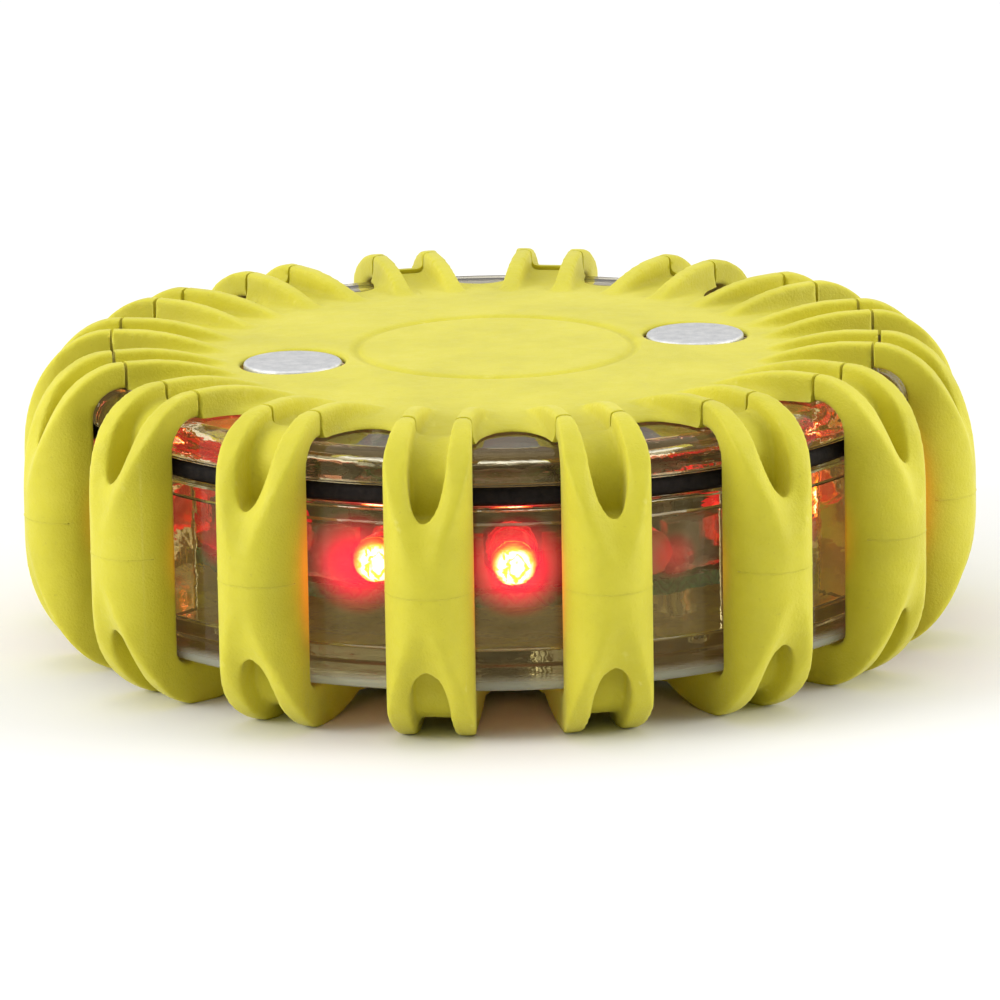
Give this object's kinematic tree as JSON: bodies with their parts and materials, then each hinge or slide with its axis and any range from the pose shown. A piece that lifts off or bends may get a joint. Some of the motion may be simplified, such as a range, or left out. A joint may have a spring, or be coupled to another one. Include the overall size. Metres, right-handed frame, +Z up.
{
  "type": "LED road flare",
  "caption": "Puck-shaped rechargeable LED road flare: a yellow ribbed rubber jacket round a smoky clear housing with red LEDs and two charging contacts on top.",
  "frame": {"origin": "centre of the puck on the plane its rib feet stand on", "axes": "+Z up through the charging-contact face; -Y out of the middle of one window; the right contact lies towards +X"},
  "size_m": [0.1082, 0.1082, 0.0352],
  "materials": {
    "jacket": "matte moulded elastomer, fine grain",
    "smoked_clear": "clear polycarbonate with a light smoke tint, polished",
    "gasket": "satin",
    "contact_metal": "fine bead-blasted stainless",
    "led_red": "clear red epoxy, lit",
    "board_green": "green solder mask",
    "steel": "zinc-plated",
    "nickel": "nickel-plated",
    "cell_wrap": "shrink sleeve",
    "black_plastic": "fine texture",
    "foam": "open foam",
    "seal_rubber": "satin",
    "wire_red": "insulation",
    "wire_black": "insulation",
    "clear_plastic": "clear polycarbonate",
    "ferrite": "sintered ferrite"
  },
  "bodies": {
    "flare": {"battery_cell_1": "cell_wrap", "battery_cell_2": "cell_wrap", "battery_cell_3": "cell_wrap", "battery_cradle": "black_plastic", "battery_foam": "foam", "battery_wire_black": "wire_black", "battery_wire_red": "wire_red", "board_screw_1": "steel", "board_screw_2": "steel", "board_screw_3": "steel", "board_screw_4": "steel", "boost_inductor": "ferrite", "button_spring": "steel", "cell_link_back": "nickel", "cell_link_front": "nickel", "charge_contact_left": "contact_metal", "charge_contact_right": "contact_metal", "circuit_board": "board_green", "contact_nut_left": "steel", "contact_nut_right": "steel", "contact_seal_left": "seal_rubber", "contact_seal_right": "seal_rubber", "contact_spring_left": "nickel", "contact_spring_right": "nickel", "controller_chip": "black_plastic", "housing_body": "smoked_clear", "housing_lid": "smoked_clear", "jacket_cage": "jacket", "jacket_top": "jacket", "led_01": "led_red", "led_02": "led_red", "led_03": "led_red", "led_04": "led_red", "led_05": "led_red", "led_06": "led_red", "led_07": "led_red", "led_08": "led_red", "led_09": "led_red", "led_10": "led_red", "led_11": "led_red", "led_12": "led_red", "led_13": "led_red", "led_14": "led_red", "led_15": "led_red", "led_16": "led_red", "led_ring": "clear_plastic", "lid_screw_1": "steel", "lid_screw_2": "steel", "lid_screw_3": "steel", "lid_screw_4": "steel", "plunger_seal": "seal_rubber", "rim_gasket": "gasket", "smoothing_capacitor": "nickel", "switch_base": "black_plastic"},
    "button": {"button_pad": "jacket", "button_plunger": "black_plastic", "plunger_clip": "steel", "switch_stem": "black_plastic"}
  },
  "joints": [
    {"name": "button_press", "type": "slide", "parent": "flare", "child": "button", "axis": [0, 0, 1], "range_m": [0, 0.0008], "stiffness_N_per_m": 1500, "deforming": ["button_spring"]}
  ]
}
